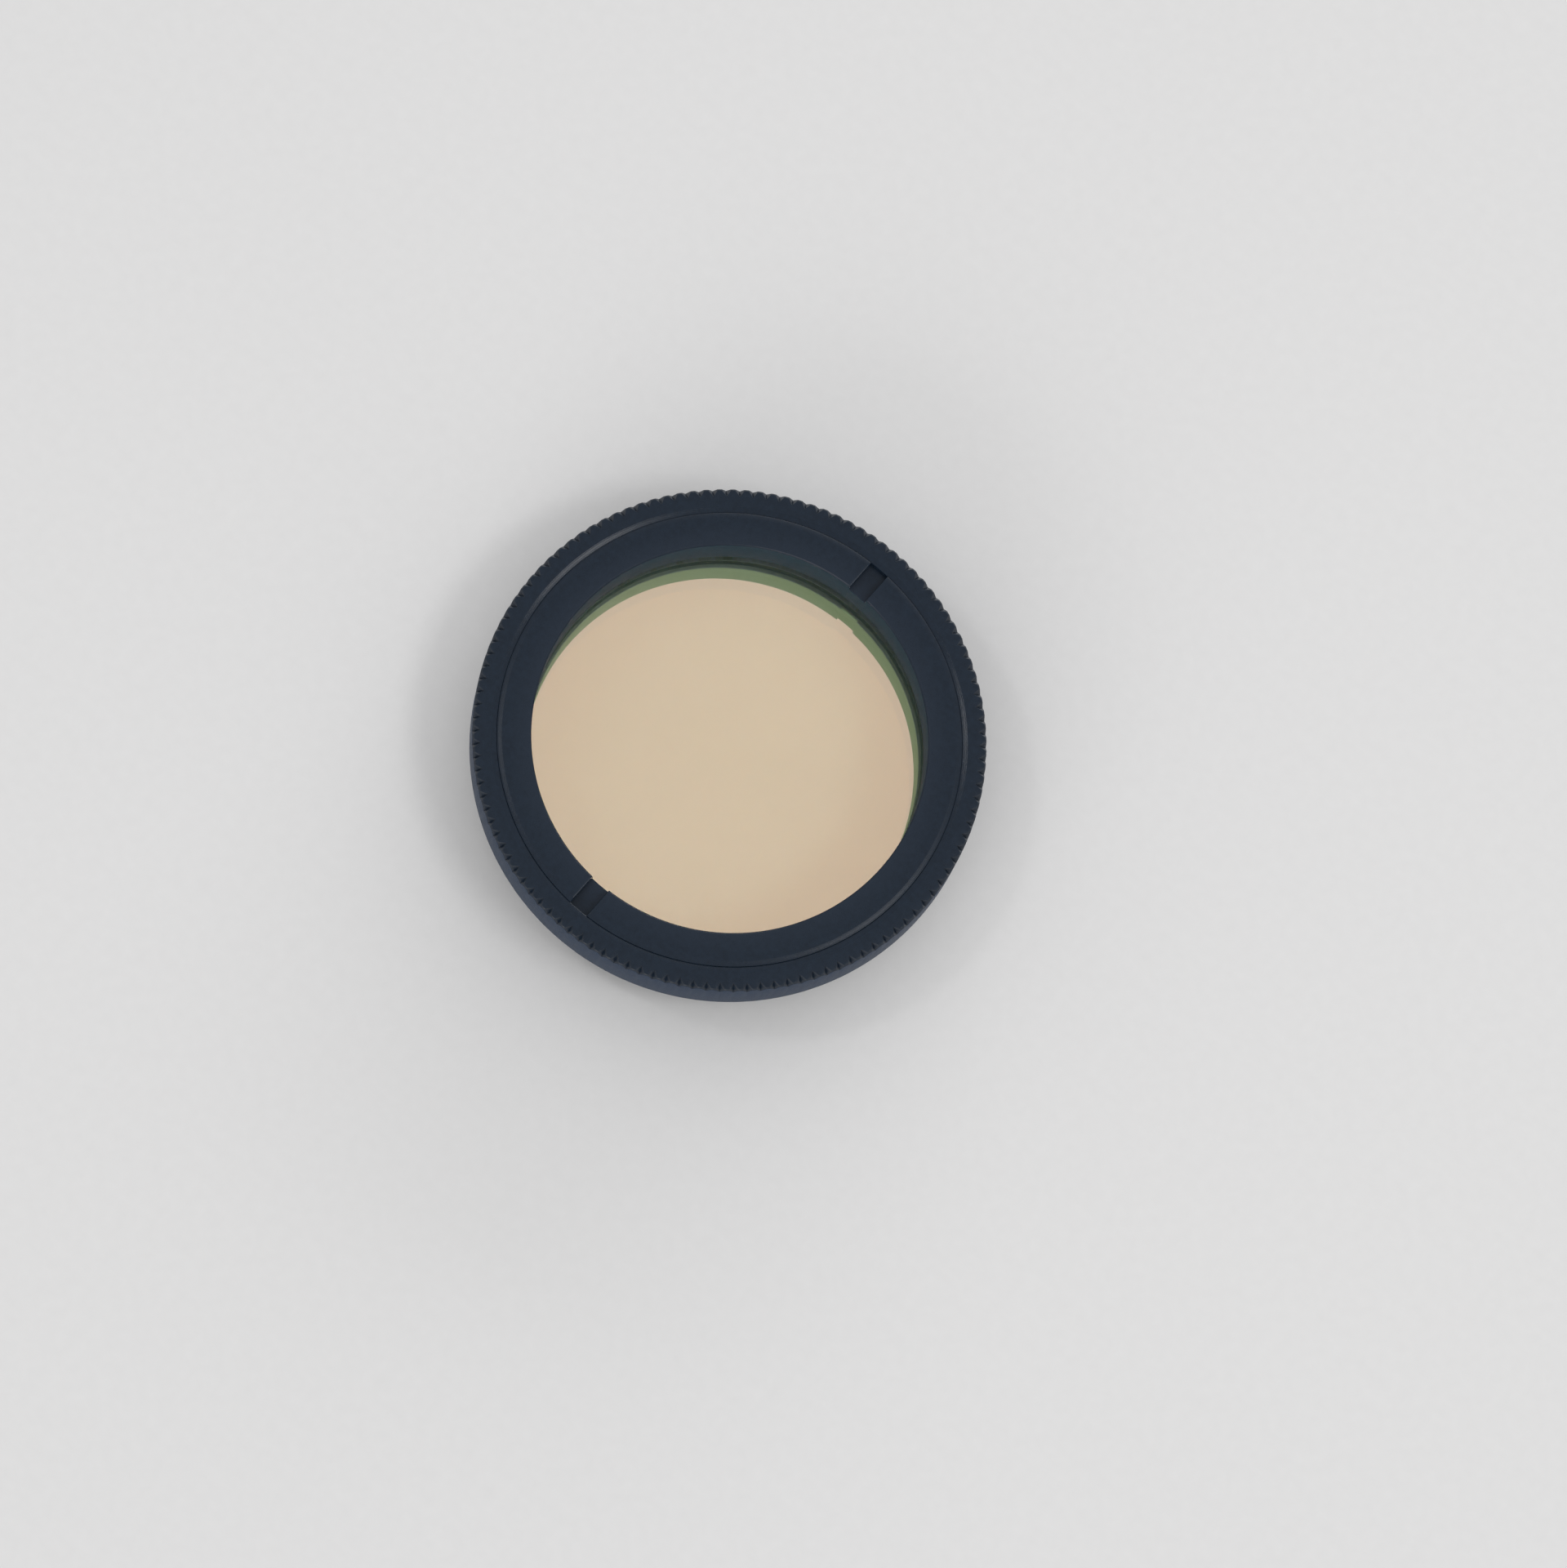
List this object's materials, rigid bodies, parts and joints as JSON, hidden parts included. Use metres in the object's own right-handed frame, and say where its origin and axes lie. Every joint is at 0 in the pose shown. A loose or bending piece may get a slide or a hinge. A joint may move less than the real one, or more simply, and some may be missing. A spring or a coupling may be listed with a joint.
{
  "type": "nebula filter",
  "caption": "Round screw-in nebula filter for a telescope eyepiece: a coated glass disc held in a knurled black metal cell by a slotted retaining ring.",
  "frame": {"origin": "centre of the lower end of the cell, on its optical axis", "axes": "+Z along the optical axis, from the male thread towards the slotted ring; +Y through one of the ring's slots"},
  "size_m": [0.0316, 0.0314, 0.0064],
  "materials": {
    "cell_black_anodised": "satin black anodised, fine turning marks",
    "ring_black_anodised": "satin black anodised, fine turning marks",
    "coated_glass": "polished, interference coated on both faces"
  },
  "bodies": {
    "root": {"cell": "cell_black_anodised", "filter_glass": "coated_glass", "retaining_ring": "ring_black_anodised"}
  },
  "joints": []
}
